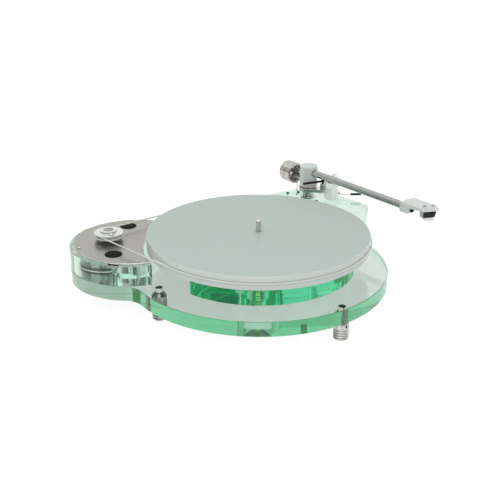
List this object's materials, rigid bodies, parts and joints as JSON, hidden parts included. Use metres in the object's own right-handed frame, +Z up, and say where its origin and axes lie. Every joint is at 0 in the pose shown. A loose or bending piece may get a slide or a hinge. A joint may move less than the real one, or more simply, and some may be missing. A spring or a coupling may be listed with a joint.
{
  "type": "turntable",
  "caption": "Belt-drive turntable: frosted platter on clear round plinths with a motor lobe, unipivot tonearm, cueing lever and levelling feet.",
  "frame": {"origin": "middle of the bounding box in plan, on the plane the feet stand on", "axes": "+Z up, -Y towards the user, +X to the user's right, where the tonearm is"},
  "size_m": [0.4676, 0.363, 0.1226],
  "materials": {
    "clear_acrylic": "clear, polished edges, faint green",
    "frosted_acrylic": "frosted, satin",
    "polished_steel": "polished",
    "brushed_plate": "brushed, warm grey",
    "satin_aluminium": "satin",
    "brass": "turned, bright",
    "black_rubber": "black, matt",
    "dark_plastic": "dark grey",
    "white_plastic": "white, satin",
    "belt_rubber": "pale grey, matt"
  },
  "bodies": {
    "base": {"lower_plinth": "clear_acrylic", "upper_plinth": "clear_acrylic", "plinth_screw_left": "polished_steel", "plinth_screw_right": "polished_steel", "plinth_screw_rear": "polished_steel", "foot_insert_front": "brass", "foot_insert_left": "brass", "foot_insert_rear": "brass", "bearing_housing": "brass", "bearing_nut": "brass", "bearing_plug": "black_rubber", "motor_housing": "clear_acrylic", "terminal_block": "dark_plastic", "power_inlet": "black_rubber", "motor": "satin_aluminium", "motor_capacitor": "polished_steel", "top_plate": "brushed_plate", "plate_damper_front": "black_rubber", "plate_damper_rear": "black_rubber", "plate_screw_front": "polished_steel", "plate_screw_rear": "polished_steel", "plate_screw_left": "polished_steel", "drive_belt": "belt_rubber", "arm_pillar": "polished_steel", "pivot_spike": "polished_steel", "armboard_screw_left": "polished_steel", "armboard_screw_front": "polished_steel", "armboard_screw_rear": "polished_steel", "lift_platform": "polished_steel", "lift_cylinder": "polished_steel", "rest_post": "frosted_acrylic", "arm_rest": "frosted_acrylic", "thread_guide": "polished_steel"},
    "platter": {"platter": "frosted_acrylic", "platter_hub": "satin_aluminium", "spindle": "polished_steel"},
    "pulley": {"pulley": "white_plastic", "pulley_screw": "polished_steel", "pulley_cap": "dark_plastic", "motor_shaft": "polished_steel"},
    "arm_swivel": {"pivot_cup": "brass"},
    "tonearm": {"arm_housing": "frosted_acrylic", "arm_tube": "satin_aluminium", "headshell": "frosted_acrylic", "lead_grommet": "black_rubber", "cartridge_bolt_outer": "polished_steel", "cartridge_bolt_inner": "polished_steel", "cartridge_frame": "satin_aluminium", "cartridge_body": "black_rubber", "stylus_guard": "white_plastic", "stylus": "satin_aluminium", "counterweight_stub": "polished_steel"},
    "counterweight": {"counterweight": "polished_steel"},
    "cue_lever": {"cue_lever": "polished_steel", "cue_grip": "black_rubber"},
    "lift": {"lift_bar": "black_rubber"},
    "switch": {"power_switch": "black_rubber"},
    "foot_front": {"foot_front": "polished_steel"},
    "foot_left": {"foot_left": "polished_steel"},
    "foot_rear": {"foot_rear": "polished_steel"}
  },
  "joints": [
    {"name": "platter_spin", "type": "hinge", "parent": "base", "child": "platter", "pos_m": [-0.0085, -0.00656, 0.0847], "axis": [0, 0, 1], "continuous": true},
    {"name": "pulley_spin", "type": "hinge", "parent": "base", "child": "pulley", "pos_m": [-0.1749, 0.11095, 0.084], "axis": [0, 0, 1], "continuous": true},
    {"name": "arm_swing", "type": "hinge", "parent": "base", "child": "arm_swivel", "pos_m": [0.1684, 0.12865, 0.112], "axis": [0, 0, -1], "range_deg": [0, 46.4]},
    {"name": "arm_lift", "type": "hinge", "parent": "arm_swivel", "child": "tonearm", "pos_m": [0.1684, 0.12865, 0.112], "axis": [-0.9936, -0.1132, 0], "range_deg": [0, 7]},
    {"name": "counterweight_slide", "type": "slide", "parent": "tonearm", "child": "counterweight", "axis": [-0.1132, 0.9936, 0], "range_m": [-0.002, 0.003]},
    {"name": "cue_turn", "type": "hinge", "parent": "base", "child": "cue_lever", "pos_m": [0.20282, 0.10036, 0.078], "axis": [-0.9936, -0.1132, 0], "range_deg": [0, 40]},
    {"name": "cue_lift", "type": "slide", "parent": "base", "child": "lift", "axis": [0, 0, 1], "range_m": [0, 0.0045]},
    {"name": "switch_press", "type": "slide", "parent": "base", "child": "switch", "axis": [0.6909, 0.723, 0], "range_m": [0, 0.0012], "stiffness_N_per_m": 300},
    {"name": "foot_front_level", "type": "slide", "parent": "base", "child": "foot_front", "axis": [0, 0, -1], "range_m": [0, 0.004]},
    {"name": "foot_left_level", "type": "slide", "parent": "base", "child": "foot_left", "axis": [0, 0, -1], "range_m": [0, 0.004]},
    {"name": "foot_rear_level", "type": "slide", "parent": "base", "child": "foot_rear", "axis": [0, 0, -1], "range_m": [0, 0.004]}
  ],
  "couplings": [
    {"joint": "pulley_spin", "follows": "platter_spin", "ratio": 9},
    {"joint": "cue_turn", "follows": "cue_lift", "rad_per_m": 155}
  ]
}
